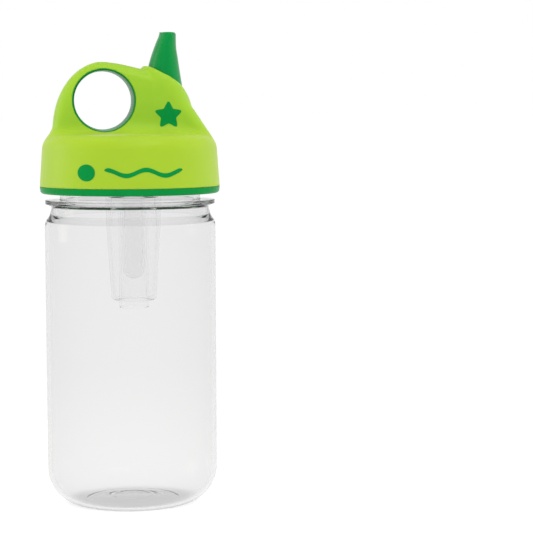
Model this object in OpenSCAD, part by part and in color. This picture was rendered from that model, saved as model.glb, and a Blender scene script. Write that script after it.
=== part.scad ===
// Child's drinking bottle: a clear body with a threaded neck, and a two-colour screw
// lid that carries a loop grip, a soft spout and a spill valve. Millimetres, +Z up,
// origin at the middle of the base, the grip's flat sides facing -Y and +Y.

/* [Bottle] */
// Outer diameter of the bottle's straight wall
body_d = 67.4; // [66.5:0.1:68.5]
// Height where the straight wall ends and the shoulder begins
shoulder_z = 110.5; // [104:0.5:111]
// Wall thickness
wall = 1.6; // [1.4:0.1:2.2]
// Radius of the round corner between wall and base
corner_r = 14.3; // [11:0.1:16]
// Height of the raised middle of the base
punt_h = 2.4; // [1.5:0.1:3]

/* [Neck] */
// Outer diameter of the neck, without its thread
neck_d = 55.4; // [55:0.1:55.6]
// Inner diameter of the neck
neck_bore_d = 50.4; // [49:0.1:51]
// Height of the neck's rim
rim_z = 138.5; // [138:0.1:138.5]
// How far the lid rises in one turn
lead = 5; // [4.6:0.1:5.4]
// Turns of thread on the neck and in the lid
thread_turns = 1.25; // [0.75:0.25:1.5]

/* [Lid] */
// Largest diameter of the lid, just above the dark band
lid_d = 71; // [70.8:0.1:72.6]
// Height of the lid's lower edge
lid_z = 123.5; // [123:0.1:124]
// Height of the dark band
band_h = 2.7; // [2:0.1:3.4]
// Height where the lid's wall turns in at the top
lid_shoulder_z = 142.9; // [142.4:0.1:143.4]

/* [Grip] */
// Height of the top of the grip
grip_top_z = 175; // [173:0.1:178]
// Middle of the loop hole, left of the bottle's axis
loop_x = -10.4; // [-11:0.1:-9]
// Height of the middle of the loop hole
loop_z = 159.9; // [158.5:0.1:160]
// Narrowest diameter of the loop hole
loop_d = 22.8; // [20:0.1:23]
// Radius of the grip's rounded edges
grip_edge_r = 4.5; // [3:0.5:5]

/* [Spout] */
// Middle of the spout, right of the bottle's axis
spout_x = 14.4; // [14:0.1:15]
// Height of the spout's tip
spout_z = 186.5; // [183:0.1:190]
// Diameter of the drinking hole
spout_bore_d = 4.4; // [3:0.1:5]

/* [Valve] */
// Middle of the valve, right of the bottle's axis
valve_x = 1.2; // [0:0.1:2]
// Height of the valve's lower end
valve_z = 78; // [70:1:90]
// Diameter of the valve's socket
valve_socket_d = 19.2; // [18:0.1:19.4]

/* [Hidden] */
eps = 0.02;
round_fn = 96;

body_r = body_d / 2;
foot_r = body_r - corner_r;
flange_r = body_r - 0.25;
flange_z = 119;
flange_t = 2;
collar_r = body_r - 1.95;
shoulder_r = 5;
dimple_r = 9.3;

neck_r = neck_d / 2;
bore_r = neck_bore_d / 2;
thread_h = 1.6;
male_z = 127.8;
thread_drop = 1.6;
core_bore_r = neck_r + 2.4;
core_thread_h = 1.5;

seal_z = rim_z + 0.1;
seal_t = 1.3;
deck_z = seal_z + seal_t + 0.1;
deck_t = 3;
deck_top = deck_z + deck_t;

lid_r = lid_d / 2;
lid_top_r = lid_r - 1.2;
core_r = lid_r - 2.3;
band_top = lid_z + band_h;
crown_z = 146.4;
crown_r = lid_top_r - 2.6;

loop_r = loop_d / 2;
loop_ring_r = loop_r + 1.1;
loop_mid = 8;
grip_base_z = 141;
grip_oval = [20.5, grip_top_z - 148];
grip_oval_mid = [-10, 148];
// Half thickness of the grip at places along X
grip_plan = [[-31.4, 6.5], [-6, 9.6], [19, 11], [32.2, 8.5]];
web_t = 8;

seat_z = 150;
socket_wall = 0.9;
socket_top = 156;
flow_r = 3;
spout_flange_r = 9;
// Spout sections: height, left edge, right edge (both from its axis), half width
spout_rings = [
    [seat_z + 2, -7.6, 7.6, 8.6], [164.5, -7.1, 6.9, 8.6], [173.2, -6.5, 5.5, 7.8],
    [179.5, -4.8, 4.5, 6.9], [spout_z - 0.8, -2.4, 4.1, 6.2], [spout_z, -1.7, 3.4, 5.5]];

emblem_at = [14.5, 154];
emblem_r = 6.2;
dot_at = [-18.6, 132.4];
dot_r = 3.2;
wave_z = 131.6;
wave_h = 1.7;
inlay_proud = 0.1;

spigot_r = valve_socket_d / 2 - 0.15;
spigot_bore_r = 7;
spigot_z = 126;
cup_wall = 1.3;
cup_foot_r = 8.9;
cup_top = 137;
ledge_z = 121.6;
tube_r = 5.8;
tube_wall = 0.9;
tube_top = 117;
finger_z = valve_z + 11.5;
vent_at = [-8, 17.5];

// Points along an arc about c, in a plane
function arc(c, r, a0, a1, n) =
    [for (i = [0:n]) c + r * [cos(a0 + (a1 - a0) * i / n), sin(a0 + (a1 - a0) * i / n)]];

// Half thickness of the grip at x, by straight lines between grip_plan's places
function grip_half(x) = lookup(x, grip_plan);

// The middle line of the grip's rounded edge, seen from the front
function grip_edge() = let (r = grip_edge_r) concat(
    [for (a = [180:-15:75]) grip_oval_mid + [(grip_oval[0] - r) * cos(a),
        (grip_oval[1] - r) * sin(a)]],
    [[3.4, grip_top_z - 2.3 - r], [10.6, 166.1], [14.2, 163.9], [17.6, 160.9], [24.6, 149.8]],
    [for (x = [27.8, 19, -6, -31.2 + r]) [x, grip_base_z + r]]);

// One section of a thread ridge: root, flanks and crest. side is 1 outward, -1 inward
function ridge(r, side, h, z, a, size) = [for (p = [[-0.7, -1.1], [h, -0.5], [h, 0.5], [-0.7, 1.1]])
    let (rr = r + side * (p[0] > 0 ? p[0] * size : p[0]))
    [rr * cos(a), rr * sin(a), z + p[1] * side]];

// A helical ridge that fades in and out at its ends
module thread(r, side, h, z0, turns) {
    steps = round(40 * turns);
    fade = 4;
    rings = [for (i = [0:steps]) let (a = 360 * turns * i / steps)
        ridge(r, side, h, z0 + lead * a / 360, a, min(1, (min(i, steps - i) + 0.3) / fade))];
    faces = concat(
        [[3, 2, 1, 0], [for (j = [0:3]) 4 * steps + j]],
        [for (i = [0:steps - 1]) for (j = [0:3]) let (k = (j + 1) % 4)
            each [[4 * i + j, 4 * i + k, 4 * i + 4 + j], [4 * i + k, 4 * i + 4 + k, 4 * i + 4 + j]]]);
    polyhedron([for (g = rings) each g], faces, convexity = 6);
}

// Outside of the bottle, from the middle of the base up to the neck's rim
function bottle_outside() = concat(
    [[0, punt_h], [dimple_r - 1.2, punt_h], [dimple_r, punt_h - 0.9], [foot_r - 4, 0.5],
        [foot_r - 2, 0]],
    arc([foot_r, corner_r], corner_r, -90, 0, 16),
    arc([body_r - shoulder_r, shoulder_z], shoulder_r, 0, 48, 6),
    [[collar_r, shoulder_z + 4.4], [collar_r - 0.8, flange_z - 1], [flange_r - 1, flange_z]],
    arc([flange_r - flange_t / 2, flange_z + flange_t / 2], flange_t / 2, -90, 90, 6),
    [[neck_r + 1, flange_z + flange_t], [neck_r, flange_z + flange_t + 1]],
    arc([neck_r - 0.6, rim_z - 0.6], 0.6, 0, 90, 3));

// Inside of the bottle, from the neck's rim down to the middle of the base
function bottle_inside() = concat(
    [[bore_r + 0.5, rim_z], [bore_r, rim_z - 0.5], [bore_r, 121.5], [bore_r + 1.2, 119.4],
        [collar_r - wall - 1.6, 117.6], [collar_r - wall, 115.8]],
    arc([body_r - shoulder_r, shoulder_z], shoulder_r - wall, 48, 0, 6),
    arc([foot_r, corner_r], corner_r - wall, 0, -90, 16),
    [[foot_r - 4, wall + 0.7], [dimple_r, punt_h + wall - 0.9], [dimple_r - 1.2, punt_h + wall],
        [0, punt_h + wall]]);

module bottle_body() {
    color([0.93, 0.95, 0.95, 0.45]) union() {
        rotate_extrude($fn = round_fn) polygon(concat(bottle_outside(), bottle_inside()));
        rotate(40) thread(neck_r, 1, thread_h, male_z, thread_turns);
    }
}

module neck_seal() {
    color("whitesmoke") rotate_extrude($fn = round_fn)
        translate([bore_r + 0.3, seal_z]) square([neck_r + 1.4 - bore_r, seal_t]);
}

// Grip seen from above, used to trim what shows through its sides
module grip_prism(grow) {
    sides = [for (p = grip_plan) [p[0], p[1] + grow]];
    translate([0, 0, grip_base_z]) linear_extrude(40)
        polygon(concat(sides, [for (i = [len(sides) - 1:-1:0]) [sides[i][0], -sides[i][1]]]));
}

module grip_body() {
    hull() for (p = grip_edge()) for (s = [-1, 1])
        translate([p[0], s * (grip_half(p[0]) - grip_edge_r), p[1]])
            sphere(grip_edge_r, $fn = 20);
}

// Turns a front outline (x, z) into a bar along Y that passes through the whole lid
module through_y(length = 90) {
    rotate([90, 0, 0]) linear_extrude(length, center = true) children();
}

module star(r) {
    polygon([for (i = [0:9]) let (a = 90 + 36 * i, k = i % 2 == 0 ? r : r * 0.5)
        [k * cos(a), k * sin(a)]]);
}

// Stars in the grip's flat sides, clear of the spout between them
module grip_marks() {
    depth = 20;
    for (s = [-1, 1]) translate([0, s * (spout_flange_r + depth / 2), 0])
        through_y(depth) translate(emblem_at) star(emblem_r);
}

// A round dot and a wavy line beside it
module lid_marks() {
    through_y() {
        translate(dot_at) circle(dot_r, $fn = 32);
        polygon(concat(
            [for (x = [-12:1.5:18]) [x, wave_z + 1.1 * sin(x * 24)]],
            [for (x = [18:-1.5:-12]) [x, wave_z + wave_h + 1.1 * sin(x * 24)]]));
    }
}

// The lid's outer skin, less whatever the grip adds
module lid_form(grow = 0) {
    rotate_extrude($fn = round_fn) polygon(concat(
        [[0, band_top], [lid_r + grow, band_top]],
        arc([lid_top_r - 1.5 + grow, lid_shoulder_z - 1], 1.5, 5, 45, 3),
        arc([crown_r - 1.6 + grow, crown_z - 2], 2, 45, 85, 3),
        [[0, crown_z + 0.4]]));
}

module loop_bore() {
    translate([loop_x, 0, loop_z]) rotate([90, 0, 0]) {
        cylinder(r = loop_r, h = 60, center = true, $fn = round_fn);
        for (s = [0, 180]) rotate([s, 0, 0]) translate([0, 0, loop_mid / 2])
            cylinder(r1 = loop_r, r2 = loop_r + 0.9, h = 8, $fn = round_fn);
    }
}

// The cylinder is turned so that its seam line misses the grip's own edges
module loop_ring() {
    translate([loop_x, 0, loop_z]) rotate([90, 0, 0]) rotate(23)
        cylinder(r = loop_ring_r, h = 60, center = true, $fn = round_fn);
}

// What the dark core puts inside the grip: a web and the spout's socket
module grip_core() {
    through_y(web_t) polygon([[-25, deck_top - 1], [22, deck_top - 1], [22, seat_z - 1],
        [loop_x + 14, loop_z + 2], [loop_x - 14, loop_z + 2], [-25, 150]]);
    translate([spout_x, 0, deck_top - 1])
        cylinder(r = spout_flange_r + socket_wall, h = socket_top - deck_top + 1, $fn = round_fn);
}

// The way from the valve up to the spout
module flow_channel() {
    low = [valve_x + 3.2, deck_z - 2];
    high = [spout_x, seat_z + 1];
    run = high - low;
    translate([low[0], 0, low[1]]) rotate([0, atan2(run[0], run[1]), 0])
        cylinder(r = flow_r, h = norm(run), $fn = 48);
}

module vent_holes() {
    translate([vent_at[0], vent_at[1], deck_z - 1]) {
        cylinder(r = 1, h = 6, $fn = 32);
        for (a = [0:120:240]) rotate(a) translate([2.2, 0, 0]) cylinder(r = 0.5, h = 6, $fn = 24);
    }
}

module core_closure() {
    rotate_extrude($fn = round_fn) polygon([
        [0, deck_z], [core_bore_r, deck_z], [core_bore_r, lid_z + 1], [core_bore_r + 0.7, lid_z],
        [lid_r - 0.9, lid_z], [lid_r - 0.3, lid_z + 0.5], [lid_r, band_top], [core_r, band_top],
        [core_r, deck_top - 1.5], [core_r - 1.5, deck_top], [0, deck_top]]);
}

module cap_core() {
    color([0.05, 0.55, 0.26]) difference() {
        union() {
            core_closure();
            rotate(40) thread(core_bore_r, -1, core_thread_h, male_z - thread_drop, thread_turns);
            translate([valve_x, 0, spigot_z]) cylinder(r = spigot_r, h = deck_z - spigot_z + 1);
            grip_core();
            intersection() {
                union() {
                    loop_ring();
                    grip_marks();
                }
                grip_prism(inlay_proud);
            }
            intersection() {
                lid_marks();
                difference() {
                    lid_form(inlay_proud);
                    translate([0, 0, lid_z - 1])
                        cylinder(r = core_r - 0.5, h = 30, $fn = round_fn);
                }
            }
        }
        translate([valve_x, 0, spigot_z - 1])
            cylinder(r = spigot_bore_r, h = deck_z - spigot_z + 2.4, $fn = round_fn);
        flow_channel();
        vent_holes();
        loop_bore();
        spout_form(0.05);
    }
}

module spout_form(grow = 0) {
    n = 40;
    rings = [for (s = spout_rings) [for (i = [0:n - 1]) let (a = 360 * i / n)
        [spout_x + (s[1] + s[2]) / 2 + ((s[2] - s[1]) / 2 + grow) * cos(a),
            (s[3] + grow) * sin(a), s[0]]]];
    last = len(rings) - 1;
    faces = concat(
        [[for (i = [0:n - 1]) i], [for (i = [n - 1:-1:0]) last * n + i]],
        [for (k = [0:last - 1]) for (i = [0:n - 1]) let (j = (i + 1) % n)
            each [[k * n + j, k * n + i, k * n + n + i], [k * n + j, k * n + n + i, k * n + n + j]]]);
    polyhedron([for (g = rings) each g], faces, convexity = 4);
    translate([spout_x, 0, seat_z]) cylinder(r = spout_flange_r + grow, h = 2 + eps, $fn = 64);
}

module cap_shell() {
    color([0.68, 0.82, 0.21]) difference() {
        union() {
            lid_form();
            grip_body();
        }
        core_closure();
        translate([0, 0, lid_z]) cylinder(r = core_r - 2, h = deck_top - lid_z - 1, $fn = round_fn);
        grip_core();
        loop_ring();
        grip_marks();
        lid_marks();
        spout_form(0.05);
        translate([vent_at[0], vent_at[1], deck_top - 1]) {
            cylinder(r = 3.2, h = 2.6, $fn = 48);
            cylinder(r = 0.8, h = 8, $fn = 32);
        }
    }
}

module spout() {
    color([0.05, 0.58, 0.27]) difference() {
        spout_form();
        translate([spout_x, 0, seat_z - 1]) cylinder(r = 4.5, h = 8, $fn = 64);
        translate([spout_x, 0, seat_z]) cylinder(d = spout_bore_d, h = 50, $fn = 64);
    }
}

module vent_valve() {
    color("whitesmoke") translate([vent_at[0], vent_at[1], 0]) {
        translate([0, 0, deck_z - 1]) cylinder(r1 = 2.6, r2 = 3.8, h = 1, $fn = 48);
        translate([0, 0, deck_z - eps]) cylinder(r = 0.9, h = deck_t + 0.1, $fn = 32);
        translate([0, 0, deck_top + 0.05]) cylinder(r1 = 1.5, r2 = 0.7, h = 1.2, $fn = 32);
    }
}

// An outer cup and an inner tube, joined by a floor near the bottom
module valve_cup() {
    socket_r = valve_socket_d / 2;
    floor_z = valve_z + 3;
    color([0.9, 0.93, 0.93, 0.6]) translate([valve_x, 0, 0]) rotate_extrude($fn = round_fn)
        polygon([
            [socket_r, cup_top], [socket_r + 2.2, cup_top], [socket_r + 2.2, cup_top - 1.6],
            [socket_r + 1.4, cup_top - 2.4], [socket_r + 1.1, 111], [cup_foot_r, floor_z + 1],
            [cup_foot_r - 0.7, floor_z], [tube_r, floor_z], [tube_r, valve_z],
            [tube_r - tube_wall, valve_z], [tube_r - tube_wall, tube_top], [tube_r, tube_top],
            [tube_r, floor_z + 1.2], [cup_foot_r - cup_wall, floor_z + 1.8],
            [socket_r - 0.3, 111], [socket_r - 1.2, ledge_z - 2], [socket_r - 1.2, ledge_z],
            [socket_r, ledge_z]]);
}

// A soft finger with a slit in its round end, hung from a flange
module valve_membrane() {
    flange = valve_socket_d / 2 - 0.1;
    r = tube_r - tube_wall - 0.5;
    t = 1;
    color("white") translate([valve_x, 0, 0]) difference() {
        rotate_extrude($fn = round_fn) polygon(concat(
            [[flange, ledge_z + 1.8], [flange, ledge_z + 0.05], [r + 0.6, ledge_z + 0.05],
                [r, ledge_z - 1]],
            arc([0, finger_z + r], r, 0, -90, 8),
            arc([0, finger_z + r], r - t, -90, 0, 8),
            [[r - t, ledge_z + 0.6], [r - t + 0.8, ledge_z + 1.8]]));
        translate([0, 0, finger_z]) cube([5, 0.2, 2 * t + 0.6], center = true);
    }
}

module valve_retainer() {
    color("gainsboro") translate([valve_x, 0, ledge_z + 1.9]) difference() {
        cylinder(r = valve_socket_d / 2 - 0.1, h = 2, $fn = round_fn);
        translate([0, 0, -1]) cylinder(r = spigot_bore_r, h = 4, $fn = round_fn);
    }
}

bottle_body();
neck_seal();
cap_core();
cap_shell();
spout();
vent_valve();
valve_cup();
valve_membrane();
valve_retainer();
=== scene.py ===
"""A child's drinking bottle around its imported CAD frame: clear body, two-colour lid, spout and valve."""
import math

import bpy
import numpy as np
from mathutils import Matrix, Vector
from mathutils.geometry import delaunay_2d_cdt


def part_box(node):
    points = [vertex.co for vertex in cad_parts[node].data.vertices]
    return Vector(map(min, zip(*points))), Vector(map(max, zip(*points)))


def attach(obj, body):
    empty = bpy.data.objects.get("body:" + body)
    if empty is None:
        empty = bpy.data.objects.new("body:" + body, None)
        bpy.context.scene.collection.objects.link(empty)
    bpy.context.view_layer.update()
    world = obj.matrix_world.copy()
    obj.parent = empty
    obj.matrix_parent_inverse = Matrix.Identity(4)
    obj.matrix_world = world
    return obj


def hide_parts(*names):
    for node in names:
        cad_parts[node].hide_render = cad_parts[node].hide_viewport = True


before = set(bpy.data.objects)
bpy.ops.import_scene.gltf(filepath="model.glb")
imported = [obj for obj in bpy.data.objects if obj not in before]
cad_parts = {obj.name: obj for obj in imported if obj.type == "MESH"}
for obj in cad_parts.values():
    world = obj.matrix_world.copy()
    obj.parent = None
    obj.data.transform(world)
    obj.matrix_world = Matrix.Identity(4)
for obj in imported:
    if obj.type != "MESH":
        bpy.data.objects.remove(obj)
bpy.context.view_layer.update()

MM = 0.001
TAU = 2 * math.pi


def low(node):
    """Lowest corner of a CAD node, in millimetres."""
    return np.array(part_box(node)[0]) / MM


def high(node):
    """Highest corner of a CAD node, in millimetres."""
    return np.array(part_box(node)[1]) / MM


# ---- Sizes, in millimetres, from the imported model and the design's own proportions ----

# Bottle
BODY_R = high("bottle_body")[0]
FLANGE_R = BODY_R - 0.25
RIM_Z = high("bottle_body")[2]
WALL, BASE_T = 1.6, 1.3
CORNER_R = 14.3
FOOT_R = BODY_R - CORNER_R
PUNT_H = 2.4
DIMPLE_R = 8.6
SHOULDER_Z = RIM_Z - 28
SHOULDER_R = 5
FLANGE_Z, FLANGE_T = 119, 2
COLLAR_R = BODY_R - 1.95
NECK_R, BORE_R = 27.7, 25.2

# Thread, shared by the neck and the lid
LEAD, TURNS = 5.0, 1.25
THREAD_START = math.radians(40)
MALE_Z, MALE_H = 127.8, 1.6
NECK_THREAD_Z = 124.5
FEMALE_Z, FEMALE_H = 126.2, 1.5

# Lid
LID_R = high("cap_core")[0]
LID_Z = low("cap_core")[2]
BAND_TOP = LID_Z + 2.7
LID_TOP_R = LID_R - 1.2
LID_SHOULDER_Z = 142.9
CROWN_Z = 146.4
CORE_R = LID_R - 2.3
CORE_BORE_R = NECK_R + 2.4
DECK_Z, DECK_TOP = 140.0, 143.0

# Grip
GRIP_TOP = high("cap_shell")[2]
LOOP_X, LOOP_Z = -10.4, 159.9
LOOP_R, LOOP_RING_R = 11.4, 12.2
GRIP_EDGE_R = 4.5
# Middle and half length of the grip's rounded left end
GRIP_X, GRIP_Z, GRIP_END = -10, 148, 20.15

# Spout
SPOUT_X, SPOUT_TIP = 14.4, high("spout")[2]
SPOUT_BASE = low("spout")[2]
SPOUT_BORE = 2.2
SPOUT_EDGE, SPOUT_LIP = 0.8, 0.35
# Spout sections: height, left edge, right edge (both from its axis), half width
SPOUT_RINGS = [
    (SPOUT_BASE, -7.8, 7.8, 8.6), (158, -7.5, 7.4, 8.6), (164.5, -7.2, 6.7, 8.5),
    (169, -7.0, 6.0, 8.2), (173.2, -6.7, 5.35, 7.8), (176.5, -5.8, 4.9, 7.3),
    (180, -4.6, 4.35, 6.9), (183.5, -3.2, 4.2, 6.5), (SPOUT_TIP - 1.2, -2.45, 4.2, 6.2),
    (SPOUT_TIP, -2.35, 4.15, 6.1)]

# Valve: the cup's socket, ledge, inner tube and foot
VALVE_X = (low("valve_cup")[0] + high("valve_cup")[0]) / 2
VALVE_Z, CUP_TOP = low("valve_cup")[2], high("valve_cup")[2]
SOCKET_R, LEDGE_Z = 9.6, 121.6
TUBE_R, TUBE_T, TUBE_TOP = 5.8, 0.9, 117
FOOT_TOP, CUP_FOOT_R = VALVE_Z + 3, 8.9
CUP_WAIST_Z = 111
# Bore shared by the spigot and the retainer
THROAT_R = 7.0
SPIGOT_Z, SPIGOT_R = 126.0, SOCKET_R - 0.15

# Vent
VENT_X, VENT_Y, VENT_R = -8.0, 17.5, 0.8

# Marks
STAR_AT, STAR_R = (14.5, 154), 6.2
DOT_AT, DOT_R = (-18.6, 132.4), 3.2
WAVE_FROM, WAVE_TO, WAVE_Z, WAVE_WIDTH = -12, 18, 132.4, 1.7


# Faces round the turned pieces, from the bottle down to the vent flap
ROUND_BODY, ROUND_VALVE, ROUND_FINGER, ROUND_FLAP = 240, 128, 96, 64
SHELL_STEP, QUICK_STEP = 0.5, 0.9


# ---- Small shape helpers ----

def arc(centre, radius, start, end, steps):
    """Points (r, z) along an arc, angles in degrees."""
    angles = np.radians(np.linspace(start, end, steps + 1))
    return [(centre[0] + radius * math.cos(a), centre[1] + radius * math.sin(a)) for a in angles]


def rounded(corners, closed=False, steps=4, support=0.25):
    """A path through corners (x, z, radius), each rounded, with support points beside each arc."""
    n, out = len(corners), []
    for i, (x, z, radius) in enumerate(corners):
        here = np.array((x, z), float)
        if radius <= 0 or (not closed and i in (0, n - 1)):
            out.append(tuple(here))
            continue
        before = np.array(corners[i - 1][:2], float) - here
        after = np.array(corners[(i + 1) % n][:2], float) - here
        room = 0.45 * min(np.linalg.norm(before), np.linalg.norm(after))
        before, after = before / np.linalg.norm(before), after / np.linalg.norm(after)
        half = math.acos(np.clip(before @ after, -1, 1)) / 2
        back = min(radius / math.tan(half), room)
        ends = here + before * back, here + after * back
        out.append(tuple(ends[0] + before * min(support, room * 0.4)))
        for t in np.linspace(0, 1, steps + 1):
            out.append(tuple((1 - t) ** 2 * ends[0] + 2 * t * (1 - t) * here + t * t * ends[1]))
        out.append(tuple(ends[1] + after * min(support, room * 0.4)))
    return out


def spread(path, step, z_low, z_high):
    """The same path with extra points no further apart than step between two heights."""
    out = [path[0]]
    for a, b in zip(path, path[1:]):
        if min(a[1], b[1]) >= z_low - 1e-6 and max(a[1], b[1]) <= z_high + 1e-6:
            n = max(1, math.ceil(abs(b[1] - a[1]) / step))
            out += [tuple(np.array(a) + (np.array(b) - np.array(a)) * k / n) for k in range(1, n)]
        out.append(b)
    return out


def thread_ridge(angle, z, start_z, height, half_width=1.1):
    """Height of a helical ridge at each angle and z; it fades in and out over a tenth of a turn."""
    out = np.zeros(np.broadcast(angle, z).shape)
    for turn in range(3):
        along = (angle - THREAD_START) % TAU + TAU * turn
        near = np.abs(z - (start_z + LEAD * along / TAU)) / half_width
        ridge = np.clip((1 - near) * 1.9, 0, 1)
        ridge = ridge * ridge * (3 - 2 * ridge)
        ends = np.minimum(along, TAU * TURNS - along) / (TAU / 10)
        out = np.maximum(out, height * ridge * np.clip(ends, 0, 1))
    return out


def lathe(path, segments=192, closed=False, push=None, centre_x=0.0):
    """Turns a path (r, z) about a vertical axis. push(angle, r, z, index) adds to the radius."""
    angles = np.arange(segments) * TAU / segments
    r = np.array([p[0] for p in path], float)[:, None]
    z = np.array([p[1] for p in path], float)[:, None]
    index = np.arange(len(path))[:, None]
    radius = r + (push(angles[None, :], r, z, index) if push else 0 * angles[None, :])
    rings = np.stack([centre_x + radius * np.cos(angles), radius * np.sin(angles),
                      z + 0 * angles[None, :]], axis=-1)
    verts, faces, rows = [], [], []
    for ring, (pr, pz) in zip(rings, path):
        if pr < 1e-6:
            rows.append([len(verts)])
            verts.append((centre_x, 0, pz))
        else:
            rows.append(list(range(len(verts), len(verts) + segments)))
            verts.extend(map(tuple, ring))
    pairs = list(zip(rows, rows[1:])) + ([(rows[-1], rows[0])] if closed else [])
    for a, b in pairs:
        for i in range(segments):
            j = (i + 1) % segments
            if len(a) == 1:
                faces.append((a[0], b[j], b[i]))
            elif len(b) == 1:
                faces.append((a[i], a[j], b[0]))
            else:
                faces.append((a[i], a[j], b[j], b[i]))
    return verts, faces


def tube_mesh(rows):
    """A closed mesh from rings of points, each ring joined to the next and the last to the first."""
    n, segments = len(rows), len(rows[0])
    verts = [tuple(p) for row in rows for p in row]
    faces = [(k * segments + i, k * segments + (i + 1) % segments,
              (k + 1) % n * segments + (i + 1) % segments, (k + 1) % n * segments + i)
             for k in range(n) for i in range(segments)]
    return verts, faces


def smooth_curve(xs, ys):
    """A smooth curve through points, as a function of x."""
    slopes = np.gradient(ys, xs)

    def at(x):
        i = int(np.clip(np.searchsorted(xs, x) - 1, 0, len(xs) - 2))
        h = xs[i + 1] - xs[i]
        t = min(max((x - xs[i]) / h, 0), 1)
        return ((2 * t**3 - 3 * t**2 + 1) * ys[i] + (t**3 - 2 * t**2 + t) * h * slopes[i]
                + (3 * t**2 - 2 * t**3) * ys[i + 1] + (t**3 - t**2) * h * slopes[i + 1])
    return at


def weld_shapes(*shapes):
    """Joins shapes that share points into one mesh."""
    verts, faces, known = [], [], {}
    for vs, fs in shapes:
        place = []
        for v in vs:
            key = tuple(round(c, 5) for c in v)
            if key not in known:
                known[key] = len(verts)
                verts.append(v)
            place.append(known[key])
        faces += [tuple(place[i] for i in f) for f in fs]
    return verts, faces


def piece(name, shape, body, slot, material, *nodes, normals=None):
    """A mesh object in the row frame from a shape in millimetres, riding on a body."""
    verts, faces = shape
    mesh = bpy.data.meshes.new(name)
    mesh.from_pydata([(x * MM, y * MM, z * MM) for x, y, z in verts], [], faces)
    mesh.validate()
    mesh.polygons.foreach_set("use_smooth", [True] * len(mesh.polygons))
    if normals is None:
        face_out(mesh)
    else:
        mesh.normals_split_custom_set_from_vertices(normals)
    mesh.materials.append(material)
    thing = bpy.data.objects.new(name, mesh)
    bpy.context.scene.collection.objects.link(thing)
    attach(thing, body)
    if nodes:
        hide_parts(*nodes)
    return thing


def face_out(mesh):
    """Flips every face if the closed mesh's volume comes out negative."""
    co = np.zeros(len(mesh.vertices) * 3)
    mesh.vertices.foreach_get("co", co)
    co = co.reshape(-1, 3)
    mesh.calc_loop_triangles()
    tri = np.zeros(len(mesh.loop_triangles) * 3, int)
    mesh.loop_triangles.foreach_get("vertices", tri)
    a, b, c = (co[tri.reshape(-1, 3)[:, k]] for k in range(3))
    if np.einsum("ij,ij->i", a, np.cross(b, c)).sum() < 0:
        mesh.flip_normals()


# ---- Smooth solid of the lime shell ----

def smooth_min(a, b, k):
    """The lesser of two distances, blended over a width k."""
    h = np.clip(0.5 + 0.5 * (b - a) / k, 0, 1)
    return b * (1 - h) + a * h - k * h * (1 - h)


def smooth_max(a, b, k):
    """The greater of two distances, blended over a width k."""
    return -smooth_min(-a, -b, k)


def half_plane(u, v, end, start):
    """Signed distance to the line from start to end, positive on its left."""
    (u0, v0), (u1, v1) = start, end
    length = math.hypot(u1 - u0, v1 - v0)
    return ((u - u0) * -(v1 - v0) + (v - v0) * (u1 - u0)) / length


def ellipse(u, v, a, b):
    """Approximate signed distance to an ellipse about the origin."""
    k0 = np.sqrt((u / a) ** 2 + (v / b) ** 2) + 1e-9
    k1 = np.sqrt((u / a**2) ** 2 + (v / b**2) ** 2) + 1e-9
    return np.where(k0 < 0.02, -np.minimum(a, b), k0 * (k0 - 1) / k1)


def lid_wall(r, z):
    """Outside of the lid's wall, shoulder and crown."""
    side = half_plane(r, z, (LID_R, BAND_TOP), (LID_TOP_R, LID_SHOULDER_Z))
    shoulder = half_plane(r, z, (LID_TOP_R + 0.1, LID_SHOULDER_Z), (LID_TOP_R - 2.9, CROWN_Z + 0.3))
    crown = z - (CROWN_Z + 0.5 - 0.6 * (r / LID_TOP_R) ** 2)
    return smooth_max(smooth_max(side, shoulder, 1.2), crown, 2.2)


def grip_outline(x, z):
    """The grip seen from the front: an elliptic left end, a sloping top, a ramp for the spout."""
    left = ellipse(np.minimum(x - GRIP_X, 0), np.maximum(z - GRIP_Z, 0), GRIP_END, GRIP_TOP - 147.9)
    top = half_plane(x, z, (3, GRIP_TOP - 2.5), (GRIP_X, GRIP_TOP + 0.6))
    upper_ramp = half_plane(x, z, (12.5, 170.6), (7.4, 172.8))
    ramp = smooth_max(upper_ramp, half_plane(x, z, (20.6, 163.9), (17.1, 167.6)), 2.0)
    right = smooth_max(half_plane(x, z, (31.6, 146.4), (22.3, 160.3)), x - 31.9, 1.0)
    return smooth_max(smooth_max(smooth_max(left, top, 1.6), ramp, 1.0), right, 2.2)


def grip_half(x, z):
    """Half thickness of the grip, widest near the spout and a little thinner at the top."""
    return 10.8 - 3.4 * ((x - 9) / 40) ** 2 - 0.04 * np.clip(z - 146, 0, 40)


def spout_section(z):
    """Middle, half length and half width of the spout at a height."""
    heights = [s[0] for s in SPOUT_RINGS]
    lo = np.interp(z, heights, [s[1] for s in SPOUT_RINGS])
    hi = np.interp(z, heights, [s[2] for s in SPOUT_RINGS])
    return SPOUT_X + (lo + hi) / 2, (hi - lo) / 2, np.interp(z, heights, [s[3] for s in SPOUT_RINGS])


def lid_form(x, y, z):
    """The lid's whole outside, grip included, without its holes."""
    edge = GRIP_EDGE_R
    q1 = grip_outline(x, z) + edge
    q2 = np.abs(y) - grip_half(x, z) + edge
    grip = np.minimum(np.maximum(q1, q2), 0) + np.hypot(np.maximum(q1, 0), np.maximum(q2, 0)) - edge
    middle, a, b = spout_section(z)
    collar = np.hypot(ellipse(x - middle, y, a, b) - 1.3, grip - 0.3) - 1.35
    grip = smooth_min(grip, collar, 1.2)
    blend = np.interp(x, (-30, 0, 18, 30), (4.5, 7, 6, 1.6))
    return smooth_min(lid_wall(np.hypot(x, y), z), grip, blend)


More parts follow.
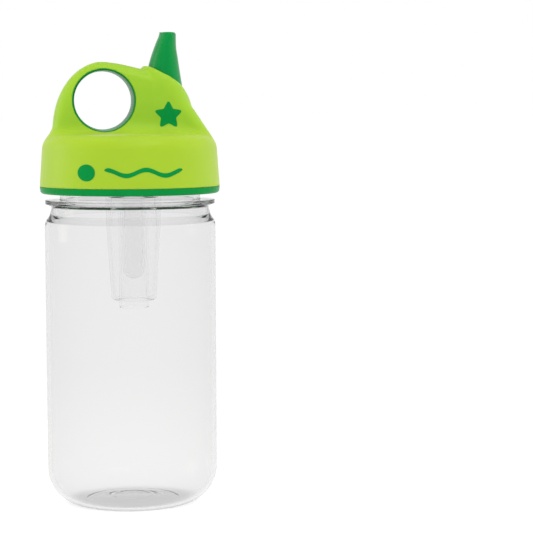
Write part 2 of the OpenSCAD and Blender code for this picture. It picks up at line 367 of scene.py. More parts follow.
def lid_shell(x, y, z):
    """The lime shell: the lid's outside less the loop, the spout's socket, the core and the vent."""
    d = lid_form(x, y, z)
    d = smooth_max(d, LOOP_RING_R - np.hypot(x - LOOP_X, z - LOOP_Z), 0.5)
    middle, a, b = spout_section(z)
    d = smooth_max(d, -np.maximum(ellipse(x - middle, y, a + 0.12, b + 0.12), SPOUT_BASE - z), 0.5)
    d = smooth_max(d, VENT_R - np.hypot(x - VENT_X, y - VENT_Y), 0.3)
    r = np.hypot(x, y)
    core = smooth_max(r - CORE_R, z - DECK_TOP, 4.0)
    d = smooth_max(d, -core, 0.3)
    return smooth_max(d, BAND_TOP - z, 0.35)


def gradient(field, p, h=0.08):
    """The field's slope at each point, from differences over 2 h along each axis."""
    g = np.stack([field(*(p + h * e).T) - field(*(p - h * e).T) for e in np.eye(3)], axis=1)
    return g / (2 * h)


def crossed_cells(inside):
    """The grid cells that the surface passes through, and each cell's number on the grid."""
    shape = tuple(n - 1 for n in inside.shape)
    count = np.zeros(shape, np.int8)
    for i, j, k in np.ndindex(2, 2, 2):
        count += inside[i:i + shape[0], j:j + shape[1], k:k + shape[2]]
    mixed = (count > 0) & (count < 8)
    cells = np.argwhere(mixed)
    index = np.full(shape, -1, np.int64)
    index[mixed] = np.arange(len(cells))
    return cells, index


def cell_points(f, cells):
    """In each cell, the mean of the places where its edges cross the surface, in grid steps."""
    total, hits = np.zeros((len(cells), 3)), np.zeros(len(cells))
    for axis in range(3):
        other = [a for a in range(3) if a != axis]
        for i, j in np.ndindex(2, 2):
            start = np.zeros(3, int)
            start[other[0]], start[other[1]] = i, j
            end = start.copy()
            end[axis] = 1
            fa = f[tuple((cells + start).T)]
            fb = f[tuple((cells + end).T)]
            cross = (fa < 0) != (fb < 0)
            t = np.where(cross, fa / np.where(cross, fa - fb, 1), 0)
            point = start + t[:, None] * (end - start)
            total[cross] += point[cross]
            hits += cross
    return cells + total / hits[:, None]


def onto_surface(field, p, step, rounds=4):
    """The points moved towards the field's surface along its slope, in a few rounds."""
    for _ in range(rounds):
        g = gradient(field, p)
        move = -field(*p.T)[:, None] * g / np.maximum((g * g).sum(1), 0.2)[:, None]
        p = p + np.clip(move, -0.5 * step, 0.5 * step)
    return p


def net_faces(inside, index):
    """A quad around every grid edge that crosses the surface, facing out."""
    quads = []
    for axis in range(3):
        other = [(axis + 1) % 3, (axis + 2) % 3]
        cut_a, cut_b = [slice(1, -1)] * 3, [slice(1, -1)] * 3
        cut_a[axis], cut_b[axis] = slice(0, -1), slice(1, None)
        near, far = inside[tuple(cut_a)], inside[tuple(cut_b)]
        for rising in (True, False):
            base = np.argwhere(near & ~far if rising else ~near & far)
            base[:, other] += 1
            ring = []
            for du, dv in ((0, 0), (1, 0), (1, 1), (0, 1)):
                cell = base.copy()
                cell[:, other[0]] -= du
                cell[:, other[1]] -= dv
                ring.append(index[tuple(cell.T)])
            quad = np.stack(ring, axis=1)
            quads.append(quad if rising else quad[:, ::-1])
    return np.vstack(quads)


def surface_nets(field, lo, hi, step):
    """A closed quad mesh of field = 0, its points moved onto it, with the field's own normals."""
    axes = [np.arange(a, b + step, step) for a, b in zip(lo, hi)]
    f = field(*np.meshgrid(*axes, indexing="ij")).astype(np.float32)
    cells, index = crossed_cells(f < 0)
    p = onto_surface(field, np.array(lo) + step * cell_points(f, cells), step)
    normals = gradient(field, p, 0.2)
    normals /= np.linalg.norm(normals, axis=1)[:, None]
    return p, net_faces(f < 0, index), normals


# ---- Materials ----

def set_ramp(node, stops):
    """Gives a colour ramp its stops, each a position and a grey or a colour."""
    elements = node.color_ramp.elements
    while len(elements) < len(stops):
        elements.new(0.5)
    for element, (at, value) in zip(elements, stops):
        element.position = at
        element.color = (*value, 1) if isinstance(value, tuple) else (value, value, value, 1)


class Look:
    """A node material with one Principled shader, and short ways to feed it."""

    def __init__(self, name, **sockets):
        self.material = bpy.data.materials.new(name)
        self.material.use_nodes = True
        self.tree = self.material.node_tree
        self.shader = self.tree.nodes["Principled BSDF"]
        for key, value in sockets.items():
            self.shader.inputs[key.replace("_", " ").title().replace("Ior", "IOR")].default_value = value
        where = self.tree.nodes.new("ShaderNodeTexCoord")
        self.place = where.outputs["Object"]

    def noise(self, size_mm, detail=3.0, stretch=None):
        """Soft noise whose blotches are about a size across, in millimetres."""
        node = self.tree.nodes.new("ShaderNodeTexNoise")
        node.inputs["Scale"].default_value = 1 / (size_mm * MM)
        node.inputs["Detail"].default_value = detail
        place = self.place
        if stretch:
            turn = self.tree.nodes.new("ShaderNodeMapping")
            turn.inputs["Scale"].default_value = stretch
            self.tree.links.new(place, turn.inputs["Vector"])
            place = turn.outputs["Vector"]
        self.tree.links.new(place, node.inputs["Vector"])
        return node.outputs["Fac"]

    def ramp(self, source, stops):
        node = self.tree.nodes.new("ShaderNodeValToRGB")
        set_ramp(node, stops)
        self.tree.links.new(source, node.inputs["Fac"])
        return node.outputs["Color"]

    def axis(self, name):
        """One coordinate of the shaded point, in metres."""
        split = self.tree.nodes.new("ShaderNodeSeparateXYZ")
        self.tree.links.new(self.place, split.inputs["Vector"])
        return split.outputs[name]

    def distance(self, y, half_x, half_y):
        """Distance from (0, y) as a share of the half lengths along X and Y, in millimetres."""
        turn = self.tree.nodes.new("ShaderNodeMapping")
        turn.inputs["Location"].default_value = (0, -y / half_y, 0)
        turn.inputs["Scale"].default_value = (1 / (half_x * MM), 1 / (half_y * MM), 1)
        reach = self.tree.nodes.new("ShaderNodeVectorMath")
        reach.operation = "LENGTH"
        self.tree.links.new(self.place, turn.inputs["Vector"])
        self.tree.links.new(turn.outputs["Vector"], reach.inputs[0])
        return reach.outputs["Value"]

    def change(self, source, start, end, before, after, smooth=True):
        """Changes from one value to another as the source goes from start to end."""
        node = self.tree.nodes.new("ShaderNodeMapRange")
        node.interpolation_type = "SMOOTHSTEP" if smooth else "LINEAR"
        for name, value in zip(("From Min", "From Max", "To Min", "To Max"), (start, end, before, after)):
            node.inputs[name].default_value = value
        self.tree.links.new(source, node.inputs["Value"])
        return node.outputs["Result"]

    def math(self, operation, *values):
        node = self.tree.nodes.new("ShaderNodeMath")
        node.operation = operation
        for socket, value in zip(node.inputs, values):
            if isinstance(value, (int, float)):
                socket.default_value = value
            else:
                self.tree.links.new(value, socket)
        return node.outputs["Value"]

    def by_height(self, below, above, z0, z1):
        """Changes from one colour to another between two heights in millimetres."""
        mix = self.tree.nodes.new("ShaderNodeMix")
        mix.data_type = "RGBA"
        share = self.change(self.axis("Z"), z0 * MM, z1 * MM, 0, 1, smooth=False)
        self.tree.links.new(share, mix.inputs["Factor"])
        self.tree.links.new(below, mix.inputs["A"])
        self.tree.links.new(above, mix.inputs["B"])
        return mix.outputs["Result"]

    def feed(self, socket, source):
        self.tree.links.new(source, self.shader.inputs[socket])

    def bump(self, *layers):
        """layers: (height source, depth in millimetres)."""
        normal = None
        for source, depth in layers:
            node = self.tree.nodes.new("ShaderNodeBump")
            node.inputs["Distance"].default_value = depth * MM
            self.tree.links.new(source, node.inputs["Height"])
            if normal is not None:
                self.tree.links.new(normal, node.inputs["Normal"])
            normal = node.outputs["Normal"]
        self.feed("Normal", normal)

    def murk(self, density):
        """Takes light along the way through the material, per metre."""
        node = self.tree.nodes.new("ShaderNodeVolumeAbsorption")
        node.inputs["Color"].default_value = grey(0.2)
        node.inputs["Density"].default_value = density
        self.tree.links.new(node.outputs["Volume"], self.tree.nodes["Material Output"].inputs["Volume"])


def shade(colour, gain):
    return tuple(c * gain for c in colour)


def grey(level):
    return level, level, level, 1


def lime_look():
    """Satin lime with a soft bright edge; the grip gets a darker, greener copy of the skirt's colour, painted
    shade for the less lit grip.
    """
    look = Look("lime_soft_touch", specular_ior_level=0.2, sheen_weight=0.14, sheen_roughness=0.4,
                sheen_tint=(1.0, 0.96, 0.6, 1), subsurface_weight=0.06,
                subsurface_radius=(0.002, 0.002, 0.0006), subsurface_scale=0.6)
    patches = look.noise(14, 4)
    # Painted shade: the grip's colour is a darker, greener copy of the skirt's, swapped in by height,
    # standing in for the grip catching less light.
    skirt = look.ramp(patches, [(0.3, (0.362, 0.565, 0.026)), (0.7, (0.378, 0.585, 0.028))])
    grip = look.ramp(patches, [(0.3, (0.312, 0.560, 0.030)), (0.7, (0.328, 0.580, 0.032))])
    look.feed("Base Color", look.by_height(skirt, grip, CROWN_Z - 1, CROWN_Z + 5))
    look.feed("Roughness", look.ramp(look.noise(1.1, 2), [(0.3, 0.36), (0.7, 0.46)]))
    look.bump((look.noise(0.28, 2), 0.012), (look.noise(3.5, 2), 0.02))
    return look.material


def dark_green_look():
    """Moulded green with little gloss, for the core with its band, ring and marks."""
    base = (0.003, 0.262, 0.050)
    look = Look("dark_green_moulded", specular_ior_level=0.04)
    patches = look.noise(10, 3)
    look.feed("Base Color", look.ramp(patches, [(0.3, shade(base, 0.95)), (0.7, shade(base, 1.06))]))
    look.feed("Roughness", look.ramp(look.noise(1.5, 2), [(0.3, 0.24), (0.7, 0.34)]))
    look.bump((look.noise(0.35, 2), 0.006), (look.noise(4, 2), 0.015))
    return look.material


def spout_look():
    """Soft green, a little translucent, with faint flow lines up the spout."""
    base = (0.003, 0.262, 0.053)
    look = Look("soft_spout_green", specular_ior_level=0.14, subsurface_weight=0.1,
                subsurface_radius=(0.001, 0.003, 0.001), subsurface_scale=1.0)
    flow = look.noise(6, 3, (1, 1, 0.25))
    look.feed("Base Color", look.ramp(flow, [(0.3, shade(base, 0.93)), (0.7, shade(base, 1.08))]))
    look.feed("Roughness", look.ramp(look.noise(0.9, 2), [(0.3, 0.26), (0.7, 0.34)]))
    look.bump((look.noise(0.3, 2), 0.006), (flow, 0.03))
    return look.material


def clear_look():
    """Clear copolyester: it takes a little light at each face and more along its own thickness."""
    look = Look("clear_copolyester", base_color=grey(0.94), transmission_weight=1.0, ior=1.13)
    look.feed("Roughness", look.ramp(look.noise(9, 3), [(0.35, 0.0), (0.75, 0.003)]))
    look.bump((look.noise(40, 0, (1, 1, 0.45)), 0.01))
    look.murk(30)
    return look.material


def frosted_look():
    """Translucent plastic that shows mostly by what its thickness takes away."""
    look = Look("frosted_valve_plastic", base_color=grey(0.995), transmission_weight=1.0, ior=1.02)
    look.feed("Roughness", look.ramp(look.noise(12, 2), [(0.3, 0.14), (0.7, 0.2)]))
    look.murk(9)
    return look.material


def silicone_look():
    """Milky silicone, a little rougher than the frosted plastic."""
    look = Look("milky_silicone", base_color=grey(0.99), transmission_weight=0.98, ior=1.02)
    look.feed("Roughness", look.ramp(look.noise(12, 2), [(0.3, 0.16), (0.7, 0.24)]))
    look.murk(7)
    return look.material


LIME, DARK, SPOUT_GREEN = lime_look(), dark_green_look(), spout_look()
CLEAR, FROSTED, SILICONE = clear_look(), frosted_look(), silicone_look()


# ---- Bottle ----

def base_rise(r, ring=0.09):
    """Height of the base at a radius: a shallow dome with a low moulded ring, meeting the foot."""
    dome = 0.3 + (PUNT_H - 0.3) * math.cos(min(r / (FOOT_R - 2), 1) * math.pi / 2) ** 1.5
    return dome + ring * math.exp(-((r - DIMPLE_R) / 0.9) ** 2)


def body_outside():
    """The body's outside (r, z) from the middle of its base up to the rim."""
    path = [(r, base_rise(r)) for r in np.linspace(0, FOOT_R - 2, 36)]
    path += rounded([(FOOT_R - 1.8, 0.3, 0), (FOOT_R - 0.8, 0, 0.8), (FOOT_R - 0.2, 0, 0)], steps=4)
    path += arc((FOOT_R, CORNER_R), CORNER_R, -90, 0, 40)
    path += [(BODY_R, z) for z in np.linspace(CORNER_R + 4, SHOULDER_Z - 1, 12)]
    path += arc((BODY_R - SHOULDER_R, SHOULDER_Z), SHOULDER_R, 0, 44, 12)
    flange_top = FLANGE_Z + FLANGE_T
    path += rounded([(COLLAR_R + 0.35, SHOULDER_Z + 3.75, 0), (COLLAR_R, SHOULDER_Z + 4.5, 0.5),
                     (COLLAR_R - 0.9, FLANGE_Z - 0.8, 0.8), (FLANGE_R - 1.2, FLANGE_Z, 0.3),
                     (FLANGE_R, FLANGE_Z + 0.3, 0.35), (FLANGE_R, flange_top - 0.1, 0.35),
                     (NECK_R + 0.3, flange_top, 0.1), (NECK_R, flange_top + 0.3, 0.1),
                     (NECK_R, flange_top + 3, 0)])
    path += rounded([(NECK_R, flange_top + 3.2, 0), (NECK_R, RIM_Z, 0.6), (NECK_R - 1.2, RIM_Z, 0)])
    return spread(path, 0.3, NECK_THREAD_Z, RIM_Z - 1)


def body_inside():
    """The body's inside (r, z) from the rim down to the middle of its base."""
    path = rounded([(BORE_R + 0.8, RIM_Z, 0), (BORE_R, RIM_Z, 0.5), (BORE_R, FLANGE_Z + 0.1, 0.6),
                    (COLLAR_R - 3.0, FLANGE_Z - 0.4, 0.8), (COLLAR_R - 2.8, SHOULDER_Z + 4.2, 1),
                    (BODY_R - WALL, SHOULDER_Z + 1.4, 1), (BODY_R - WALL, SHOULDER_Z - 6, 0)], steps=10)
    path += [(BODY_R - WALL, z) for z in np.linspace(SHOULDER_Z - 12, CORNER_R + 4, 12)]
    path += [(FOOT_R + (CORNER_R - WALL) * math.cos(a), CORNER_R - (CORNER_R - BASE_T) * math.sin(a))
             for a in np.radians(np.linspace(0, 88, 37))]
    return path + [(r, BASE_T + base_rise(r, 0.06)) for r in np.linspace(FOOT_R - 1.2, 0, 36)]


def bottle_body():
    outside = body_outside()
    outer = len(outside)

    def push(angle, r, z, index):
        on_neck = (index < outer) * (z > NECK_THREAD_Z - 0.1) * (r > NECK_R - 0.01)
        return thread_ridge(angle, z, MALE_Z, MALE_H) * on_neck

    shape = lathe(outside + body_inside(), ROUND_BODY, push=push)
    piece("bottle_wall", shape, "bottle", "clear_wall", CLEAR, "bottle_body")


def neck_seal():
    bottom, (outer_r, _, top) = low("neck_seal")[2], high("neck_seal")
    inner_r, edge = BORE_R + 0.3, 0.25
    corners = [(inner_r, bottom, edge), (outer_r, bottom, edge), (outer_r, top, edge), (inner_r, top, edge)]
    shape = lathe(rounded(corners, closed=True), closed=True)
    piece("seal_ring", shape, "seal", "seal_silicone", SILICONE, "neck_seal")


# ---- Lid ----

def core():
    """The dark closure: its band shows under the shell, its threads and deck show from below."""
    path = rounded([
        (0, DECK_Z, 0), (CORE_BORE_R, DECK_Z, 0.8), (CORE_BORE_R, LID_Z + 1, 0.4),
        (CORE_BORE_R + 0.7, LID_Z, 0.3), (LID_R - 0.9, LID_Z, 0.7), (LID_R - 0.25, LID_Z + 0.7, 0.6),
        (LID_R, BAND_TOP, 0.25), (CORE_R, BAND_TOP, 0.2), (CORE_R, DECK_TOP, 3.5),
        (0, DECK_TOP, 0)], steps=6)
    path = spread(path, 0.3, LID_Z + 1.2, DECK_Z - 1)

    def push(angle, r, z, index):
        on_wall = (np.abs(r - CORE_BORE_R) < 0.01) & (z > LID_Z + 1.2) & (z < DECK_Z - 0.8)
        return -thread_ridge(angle, z, FEMALE_Z, FEMALE_H) * on_wall

    shape = lathe(path, ROUND_BODY, push=push)
    piece("lid_core", shape, "lid", "dark_green", DARK, "cap_core")


def spigot():
    """The tube under the lid that the valve's cup slides onto."""
    top = DECK_Z + 0.6
    path = rounded([(THROAT_R, SPIGOT_Z, 0.3), (SPIGOT_R, SPIGOT_Z, 0.5), (SPIGOT_R, top, 0.1),
                    (THROAT_R, top, 0.1)], closed=True)
    shape = lathe(path, ROUND_VALVE, closed=True, centre_x=VALVE_X)
    piece("valve_spigot", shape, "lid", "dark_green", DARK, "cap_core")


def shell():
    lo = (-LID_R - 1, -LID_R - 1, BAND_TOP - 1)
    hi = (LID_R + 1, LID_R + 1, GRIP_TOP + 1)
    step = SHELL_STEP
    verts, quads, normals = surface_nets(lid_shell, lo, hi, step)
    piece("lime_shell", (verts.tolist(), quads.tolist()), "lid", "lime_grip", LIME, "cap_shell",
          normals=normals.tolist())


def face_y(x, z, side):
    """Where the lid's outside meets a line along Y, on its front (side -1) or back (side 1)."""
    x, z = np.asarray(x, float), np.asarray(z, float)
    lo, hi = np.zeros_like(x), np.full_like(x, LID_R + 2)
    for _ in range(40):
        mid = (lo + hi) / 2
        out = lid_form(x, mid, z) > 0
        hi = np.where(out, mid, hi)
        lo = np.where(out, lo, mid)
    return side * (lo + hi) / 2


def loop_ring():
    """The dark ring in the loop: widest at both faces, narrowest in the middle, its ends on the faces."""
    angles = np.arange(160) * TAU / 160
    x, z = LOOP_X + LOOP_RING_R * np.cos(angles), LOOP_Z + LOOP_RING_R * np.sin(angles)
    front, back = face_y(x, z, -1), face_y(x, z, 1)
    outer, lip = LOOP_RING_R + 0.1, LOOP_RING_R - 0.15
    rows = []

    def ring(radius, y):
        rows.append(np.stack([LOOP_X + radius * np.cos(angles), y, LOOP_Z + radius * np.sin(angles)], axis=1))

    def lip_ring(a, face, out):
        """One ring of a rounded lip: a from 0 on its outside to pi on its inside."""
        ring((outer + lip) / 2 + (outer - lip) / 2 * math.cos(a), face - out * (0.25 - 0.3 * math.sin(a)))

    ring(outer, front + 2)
    ring(outer, front + 0.4)
    for a in np.linspace(0, math.pi, 6):
        lip_ring(a, front, -1)
    for t in np.linspace(0.03, 0.97, 24):
        y = front * (1 - t) + back * t
        waist = np.clip((np.abs(y) - 4) / 8, 0, 1)
        ring(LOOP_R + (lip - LOOP_R) * waist ** 1.3, y)
    for a in np.linspace(math.pi, 0, 6):
        lip_ring(a, back, 1)
    ring(outer, back - 0.4)
    ring(outer, back - 2)
    piece("loop_ring", tube_mesh(rows), "lid", "dark_green", DARK, "cap_core")


def flat_mesh(outline, spacing):
    """Triangles that fill an outline, with points inside it at a spacing, and its rim edges."""
    outline = np.array(outline, float)
    lo, hi = outline.min(0), outline.max(0)
    inner = [(x, z) for x in np.arange(lo[0], hi[0], spacing) for z in np.arange(lo[1], hi[1], spacing)]
    points = [Vector(p) for p in outline] + [Vector(p) for p in inner]
    found = delaunay_2d_cdt(points, [], [list(range(len(outline)))], 1, 1e-5)
    tris = [tuple(f) for f in found[2]]
    edges = [edge for f in tris for edge in zip(f, f[1:] + f[:1])]
    known = set(edges)
    rim = [(a, b) for a, b in edges if (b, a) not in known]
    return np.array([tuple(v) for v in found[0]]), tris, rim


def inlay(name, outline, side, spacing=0.8, proud=0.07, deep=0.5):
    """A flat outline (x, z) laid into the lid's outside as a thin closed plate that follows it."""
    flat, tris, rim = flat_mesh(outline, spacing)
    y = face_y(flat[:, 0], flat[:, 1], side)
    top = np.stack([flat[:, 0], y + side * proud, flat[:, 1]], axis=1)
    under = np.stack([flat[:, 0], y - side * deep, flat[:, 1]], axis=1)
    verts = [tuple(p) for p in np.vstack([top, under])]
    m = len(flat)
    faces = tris + [tuple(v + m for v in f[::-1]) for f in tris]
    faces += [(b, a, a + m, b + m) for a, b in rim]
    thing = piece(name, (verts, faces), "lid", "dark_green", DARK, "cap_core")
    thing.data.set_sharp_from_angle(angle=math.radians(40))


def star_outline(middle, radius, inner_share=0.5, round_by=0.9):
    """A five-pointed star with rounded corners."""
    corners = []
    for i in range(10):
        a = math.pi / 2 + math.pi / 5 * i
        reach = radius * (1.0 if i % 2 == 0 else inner_share)
        corners.append((middle[0] + reach * math.cos(a), middle[1] + reach * math.sin(a), round_by))
    return rounded(corners, closed=True, steps=4, support=0)


def circle_outline(middle, radius, n=48):
    return [(middle[0] + radius * math.cos(TAU * i / n), middle[1] + radius * math.sin(TAU * i / n))
            for i in range(n)]


def wave_outline(x0, x1, z, width, swing=1.1, length=15):
    """A wavy line of a width, tapered at both ends."""
    xs = np.linspace(x0, x1, 61)
    line = z + swing * np.sin(TAU * xs / length)
    taper = width / 2 * np.sqrt(np.clip(np.minimum(xs - x0, x1 - xs) / 1.5, 0.02, 1))
    return list(zip(xs, line - taper)) + list(zip(xs[::-1], (line + taper)[::-1]))


def marks():
    for side, face in ((-1, "front"), (1, "back")):
        inlay(f"star_{face}", star_outline(STAR_AT, STAR_R), side)
        inlay(f"dot_{face}", circle_outline(DOT_AT, DOT_R), side)
        inlay(f"wave_{face}", wave_outline(WAVE_FROM, WAVE_TO, WAVE_Z, WAVE_WIDTH), side)


def spout_ring(angles, z, lo, hi, half, bore_mix=0.0):
    """A ring of the spout at a height; bore_mix moves it towards the bore."""
    x = SPOUT_X + (lo + hi) / 2 + (hi - lo) / 2 * np.cos(angles)
    y = half * np.sin(angles)
    bore_x, bore_y = SPOUT_X + SPOUT_BORE * np.cos(angles), SPOUT_BORE * np.sin(angles)
    return np.stack([x * (1 - bore_mix) + bore_x * bore_mix, y * (1 - bore_mix) + bore_y * bore_mix,
                     np.full(len(angles), z)], axis=1)


def spout():
    """The spout: its tapered outside, its rounded tip, and its bore."""
    angles = np.arange(128) * TAU / 128
    heights = np.array([s[0] for s in SPOUT_RINGS])
    columns = [smooth_curve(heights, np.array([s[k] for s in SPOUT_RINGS])) for k in (1, 2, 3)]
    edge, lip = SPOUT_EDGE, SPOUT_LIP
    rows = [spout_ring(angles, z, *(c(z) for c in columns))
            for z in np.linspace(SPOUT_BASE, SPOUT_TIP - edge, 90)]
    left, right, half = (c(SPOUT_TIP) for c in columns)
    for a in np.linspace(0.15, 1, 7) * math.pi / 2:
        shrink = edge * (1 - math.cos(a))
        rows.append(spout_ring(angles, SPOUT_TIP - edge + edge * math.sin(a),
                               left + shrink, right - shrink, half - shrink))
    for mix in (0.35, 0.65, 0.9):
        rows.append(spout_ring(angles, SPOUT_TIP, left + edge, right - edge, half - edge, mix))
    for a in np.linspace(0.1, 1, 4) * math.pi / 2:
        bore = SPOUT_BORE + lip * (1 - math.sin(a))
        rows.append(spout_ring(angles, SPOUT_TIP - lip * (1 - math.cos(a)), -bore, bore, bore))
    for z in np.linspace(SPOUT_TIP - 1, SPOUT_BASE, 30):
        rows.append(spout_ring(angles, z, -SPOUT_BORE, SPOUT_BORE, SPOUT_BORE))
    piece("soft_spout", tube_mesh(rows), "lid", "soft_spout", SPOUT_GREEN, "spout")


def vent_flap():
    """The umbrella flap under the vent, its stem up through the deck."""
    stem = 0.9
    path = rounded([(0, DECK_Z - 0.9, 0), (2.6, DECK_Z - 0.95, 0.2), (3.8, DECK_Z - 0.1, 0.15),
                    (stem, DECK_Z - 0.02, 0.1), (stem, DECK_Z + 3, 0.1), (1.5, DECK_Z + 3.1, 0.1),
                    (0.7, DECK_Z + 4.2, 0.2), (0, DECK_Z + 4.25, 0)])
    verts, faces = lathe(path, ROUND_FLAP)
    verts = [(x + VENT_X, y + VENT_Y, z) for x, y, z in verts]
    piece("vent_flap", (verts, faces), "lid", "seal_silicone", SILICONE, "vent_valve")


# ---- Valve ----

def valve_cup():
    """The tapered cup with its inner tube."""
    top_r, mouth_r = SOCKET_R + 2.2, SOCKET_R - 1.2
    path = rounded([
        (SOCKET_R, CUP_TOP, 0.3), (top_r, CUP_TOP, 0.4), (top_r, CUP_TOP - 1.6, 0.4),
        (SOCKET_R + 1.4, CUP_TOP - 2.4, 0.4), (SOCKET_R + 1.1, CUP_WAIST_Z, 1),
        (CUP_FOOT_R, FOOT_TOP + 1, 0.8), (CUP_FOOT_R - 0.9, FOOT_TOP, 0.5), (TUBE_R, FOOT_TOP, 0.4),
        (TUBE_R, VALVE_Z, 0.3), (TUBE_R - TUBE_T, VALVE_Z, 0.3), (TUBE_R - TUBE_T, TUBE_TOP, 0.3),
        (TUBE_R, TUBE_TOP, 0.3), (TUBE_R, FOOT_TOP + 1.2, 0.4), (CUP_FOOT_R - 1.3, FOOT_TOP + 1.8, 0.6),
        (SOCKET_R - 0.3, CUP_WAIST_Z, 1), (mouth_r, LEDGE_Z - 2, 0.3), (mouth_r, LEDGE_Z, 0.2),
        (SOCKET_R, LEDGE_Z, 0.2)], closed=True)
    shape = lathe(path, ROUND_VALVE, closed=True, centre_x=VALVE_X)
    piece("valve_body", shape, "valve", "frosted_valve", FROSTED, "valve_cup")


def valve_finger():
    """The soft round-ended finger that hangs in the tube from its flange on the ledge."""
    r, skin, flange, tip = TUBE_R - TUBE_T - 0.5, 1.0, SOCKET_R - 0.1, VALVE_Z + 11.5
    path = [(r - skin, LEDGE_Z)]
    path += rounded([(r - skin + 0.8, LEDGE_Z + 1.8, 0.2), (flange, LEDGE_Z + 1.8, 0.3),
                     (flange, LEDGE_Z + 0.05, 0.3), (r + 0.6, LEDGE_Z + 0.05, 0.3), (r, LEDGE_Z - 1, 0.4),
                     (r, LEDGE_Z - 3, 0)])
    path += arc((0, tip + r), r, 0, -89.9, 16)
    path[-1] = (0, tip)
    inner = arc((0, tip + r), r - skin, -89.9, 0, 16) + [(r - skin, LEDGE_Z)]
    inner[0] = (0, tip + skin)
    shape = weld_shapes(*(lathe(p, ROUND_FINGER, centre_x=VALVE_X) for p in (path, inner)))
    piece("valve_finger", shape, "valve", "seal_silicone", SILICONE, "valve_membrane")


def retainer_ring():
    """The ring that holds the finger's flange down on the ledge."""
    bottom, top, flange = LEDGE_Z + 1.9, LEDGE_Z + 3.9, SOCKET_R - 0.1
    corners = [(THROAT_R, bottom, 0.2), (flange, bottom, 0.2), (flange, top, 0.3), (THROAT_R, top, 0.3)]
    shape = lathe(rounded(corners, closed=True), ROUND_FINGER, closed=True, centre_x=VALVE_X)
    piece("retainer_ring", shape, "valve", "frosted_valve", FROSTED, "valve_retainer")


# ---- Stage, light and camera ----

# Strength of the white surround, and the darker share of it on the camera's side
SKY_LEVEL, FRONT_SHARE = 0.95, 0.2
WARM = (1.0, 0.9, 0.8)
# The floor's own light, and its share of it at each distance from the bottle's axis
FLOOR_LEVEL, FLOOR_REACH = 1.15, 400
FLOOR_GLOW = [(0, 0.92), (80, 0.91), (240, 0.88), (400, 0.86)]
# A darker patch that stands in for a contact shadow: its middle along Y, its half lengths along X and Y,
# its depth, and the share of its size where its soft edge starts
SHADE_Y, SHADE_A, SHADE_B, SHADE_DEPTH, SHADE_EDGE = 3, 30, 27, 0.3, 0.68
# Where the patch starts and ends its fade along Y, and the share that is left
SHADE_FADE = (2, 32, 0.2)
# Brightness of the surround by how far up it is, from the horizon to straight overhead
SKY_STOPS = [(0.0, 1.0), (0.2, 0.95), (0.55, 0.66), (1.0, 0.5)]


def floor_look():
    """A pale floor that gives its own light, with a darker patch in place of a contact shadow."""
    look = Look("pale_floor", base_color=grey(0.05), roughness=0.9, specular_ior_level=0.0)
    near, far, far_share = SHADE_FADE
    glow = look.ramp(look.distance(0, FLOOR_REACH, FLOOR_REACH),
                     [(radius / FLOOR_REACH, level) for radius, level in FLOOR_GLOW])
    depth = look.change(look.distance(SHADE_Y, SHADE_A, SHADE_B), SHADE_EDGE, 1.0, SHADE_DEPTH, 0)
    dark = look.math("MULTIPLY", depth, look.change(look.axis("Y"), near * MM, far * MM, 1, far_share))
    look.feed("Emission Color", glow)
    look.feed("Emission Strength", look.math("MULTIPLY_ADD", dark, -FLOOR_LEVEL, FLOOR_LEVEL))
    return look.material


def floor():
    mesh = bpy.data.meshes.new("floor")
    s = 30.0
    mesh.from_pydata([(-s, -s, 0), (s, -s, 0), (s, s, 0), (-s, s, 0)], [], [(0, 1, 2, 3)])
    mesh.materials.append(floor_look())
    plane = bpy.data.objects.new("floor", mesh)
    plane.location.z = -0.0002
    bpy.context.scene.collection.objects.link(plane)


def sky():
    """A surround that is brightest at the horizon and below, darker overhead and on the camera's side.

    To the camera itself it is plain white.
    """
    world = bpy.data.worlds.new("studio")
    bpy.context.scene.world = world
    world.use_nodes = True
    tree = world.node_tree
    back = tree.nodes["Background"]
    where = tree.nodes.new("ShaderNodeTexCoord")
    split = tree.nodes.new("ShaderNodeSeparateXYZ")
    ramp = tree.nodes.new("ShaderNodeValToRGB")
    tree.links.new(where.outputs["Generated"], split.inputs["Vector"])
    tree.links.new(split.outputs["Z"], ramp.inputs["Fac"])
    tree.links.new(ramp.outputs["Color"], back.inputs["Color"])
    set_ramp(ramp, SKY_STOPS)
    front = tree.nodes.new("ShaderNodeMapRange")
    front.inputs["From Min"].default_value = -0.8
    front.inputs["From Max"].default_value = -0.1
    front.inputs["To Min"].default_value = SKY_LEVEL * FRONT_SHARE
    front.inputs["To Max"].default_value = SKY_LEVEL
    tree.links.new(split.outputs["Y"], front.inputs["Value"])
    tree.links.new(front.outputs["Result"], back.inputs["Strength"])
    plain = tree.nodes.new("ShaderNodeBackground")
    plain.inputs["Color"].default_value = (1, 1, 1, 1)
    rays = tree.nodes.new("ShaderNodeLightPath")
    mix = tree.nodes.new("ShaderNodeMixShader")
    tree.links.new(rays.outputs["Is Camera Ray"], mix.inputs["Fac"])
    tree.links.new(back.outputs["Background"], mix.inputs[1])
    tree.links.new(plain.outputs["Background"], mix.inputs[2])
    tree.links.new(mix.outputs["Shader"], tree.nodes["World Output"].inputs["Surface"])


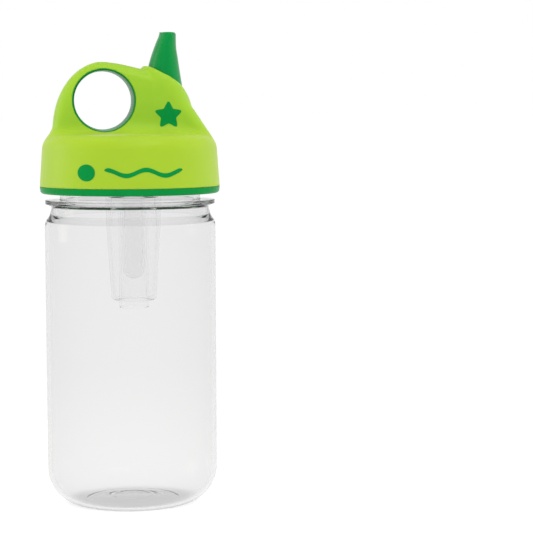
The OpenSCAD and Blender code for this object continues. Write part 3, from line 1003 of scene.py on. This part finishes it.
def softbox(name, azimuth, elevation, distance, size, power, colour=(1, 1, 1), mirrored=True):
    """An area light aimed at the bottle; azimuth 0 is in front, 90 to its right.

    A light that is not mirrored is seen neither in reflections nor through clear pieces.
    """
    data = bpy.data.lights.new(name, "AREA")
    data.shape, data.size, data.size_y, data.energy = "RECTANGLE", size[0], size[1], power
    data.color = colour
    lamp = bpy.data.objects.new(name, data)
    a, e = math.radians(azimuth), math.radians(elevation)
    out = Vector((math.sin(a) * math.cos(e), -math.cos(a) * math.cos(e), math.sin(e)))
    lamp.location = Vector((0, 0, 0.1)) + out * distance
    lamp.rotation_mode = "QUATERNION"
    lamp.rotation_quaternion = out.to_track_quat("Z", "Y")
    lamp.visible_glossy = mirrored
    lamp.visible_transmission = mirrored
    bpy.context.scene.collection.objects.link(lamp)


def camera():
    """Eye level with the loop and a little to its side, the bottle left of the picture's middle."""
    distance, height, azimuth = 0.760, 0.156, math.radians(-4.0)
    aim_right, aim_z, roll = 0.0540, 0.09266, math.radians(-0.22)
    eye = Vector((distance * math.sin(azimuth), -distance * math.cos(azimuth), height))
    right = Vector((math.cos(azimuth), math.sin(azimuth), 0))
    target = right * aim_right + Vector((0, 0, aim_z))
    data = bpy.data.cameras.new("camera")
    data.sensor_width, data.lens = 36, 128.2
    data.clip_start, data.clip_end = 0.01, 100
    cam = bpy.data.objects.new("camera", data)
    cam.location = eye
    cam.rotation_mode = "QUATERNION"
    look = (target - eye).to_track_quat("-Z", "Y")
    cam.rotation_quaternion = look @ Matrix.Rotation(roll, 3, "Z").to_quaternion()
    bpy.context.scene.collection.objects.link(cam)
    bpy.context.scene.camera = cam


camera()
floor()
sky()
softbox("key", 22, 50, 1.1, (0.5, 0.3), 2.6)
softbox("fill", -20, 25, 1.3, (0.8, 0.8), 4.6, mirrored=False)
softbox("left", -106, 12, 0.9, (0.3, 0.5), 1.5, WARM)
softbox("right", 100, 12, 0.9, (0.5, 0.5), 2.0, WARM, mirrored=False)
softbox("above", 0, 80, 1.0, (0.5, 0.5), 3.5, WARM, mirrored=False)
bpy.context.scene.view_settings.view_transform = "Standard"
bpy.context.scene.cycles.max_bounces = 36
bpy.context.scene.cycles.transmission_bounces = 32
bpy.context.scene.cycles.transparent_max_bounces = 24

bottle_body()
neck_seal()
core()
spigot()
shell()
loop_ring()
marks()
spout()
vent_flap()
valve_cup()
valve_finger()
retainer_ring()
